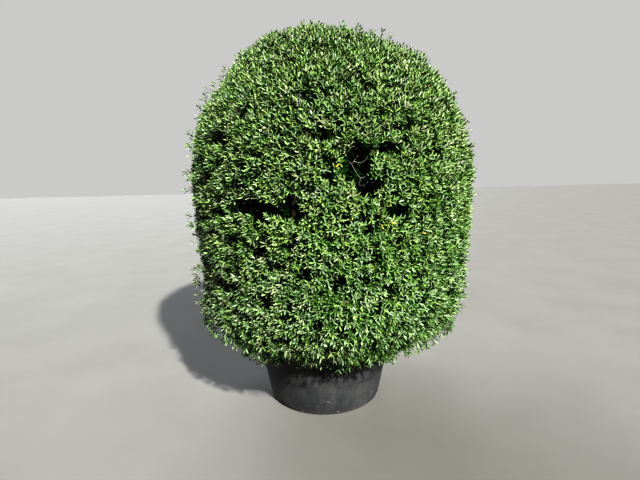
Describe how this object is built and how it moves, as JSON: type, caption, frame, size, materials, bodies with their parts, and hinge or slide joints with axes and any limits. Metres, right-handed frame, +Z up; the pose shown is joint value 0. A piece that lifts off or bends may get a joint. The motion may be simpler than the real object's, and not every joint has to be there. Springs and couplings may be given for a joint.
{
  "type": "potted japanese holly beehive topiary",
  "caption": "Tall clipped holly in a tapered plastic tub: a beehive-shaped crown of dense foliage masses, carried on boughs that fan from a short trunk.",
  "frame": {"origin": "centre of the tub's flat underside, on the surface that it stands on", "axes": "+Z up; -Y is the front, the side that faces the viewer; +X to the right seen from there"},
  "size_m": [1.9754, 1.9619, 2.5915],
  "materials": {
    "pot": "matte",
    "soil": "matte",
    "bark": "matte",
    "foliage": "satin"
  },
  "bodies": {
    "root": {"pot": "pot", "soil": "soil", "trunk": "bark", "bough_skirt_1": "bark", "bough_skirt_2": "bark", "bough_skirt_3": "bark", "bough_skirt_4": "bark", "bough_skirt_5": "bark", "bough_belly_1": "bark", "bough_belly_2": "bark", "bough_belly_3": "bark", "bough_belly_4": "bark", "bough_belly_5": "bark", "bough_shoulder_1": "bark", "bough_shoulder_2": "bark", "bough_shoulder_3": "bark", "bough_shoulder_4": "bark", "bough_shoulder_5": "bark", "bough_brow_1": "bark", "bough_brow_2": "bark", "bough_brow_3": "bark", "bough_brow_4": "bark", "bough_cap": "bark", "foliage_skirt_1": "foliage", "foliage_skirt_2": "foliage", "foliage_skirt_3": "foliage", "foliage_skirt_4": "foliage", "foliage_skirt_5": "foliage", "foliage_belly_1": "foliage", "foliage_belly_2": "foliage", "foliage_belly_3": "foliage", "foliage_belly_4": "foliage", "foliage_belly_5": "foliage", "foliage_shoulder_1": "foliage", "foliage_shoulder_2": "foliage", "foliage_shoulder_3": "foliage", "foliage_shoulder_4": "foliage", "foliage_shoulder_5": "foliage", "foliage_brow_1": "foliage", "foliage_brow_2": "foliage", "foliage_brow_3": "foliage", "foliage_brow_4": "foliage", "foliage_cap": "foliage"}
  },
  "joints": []
}
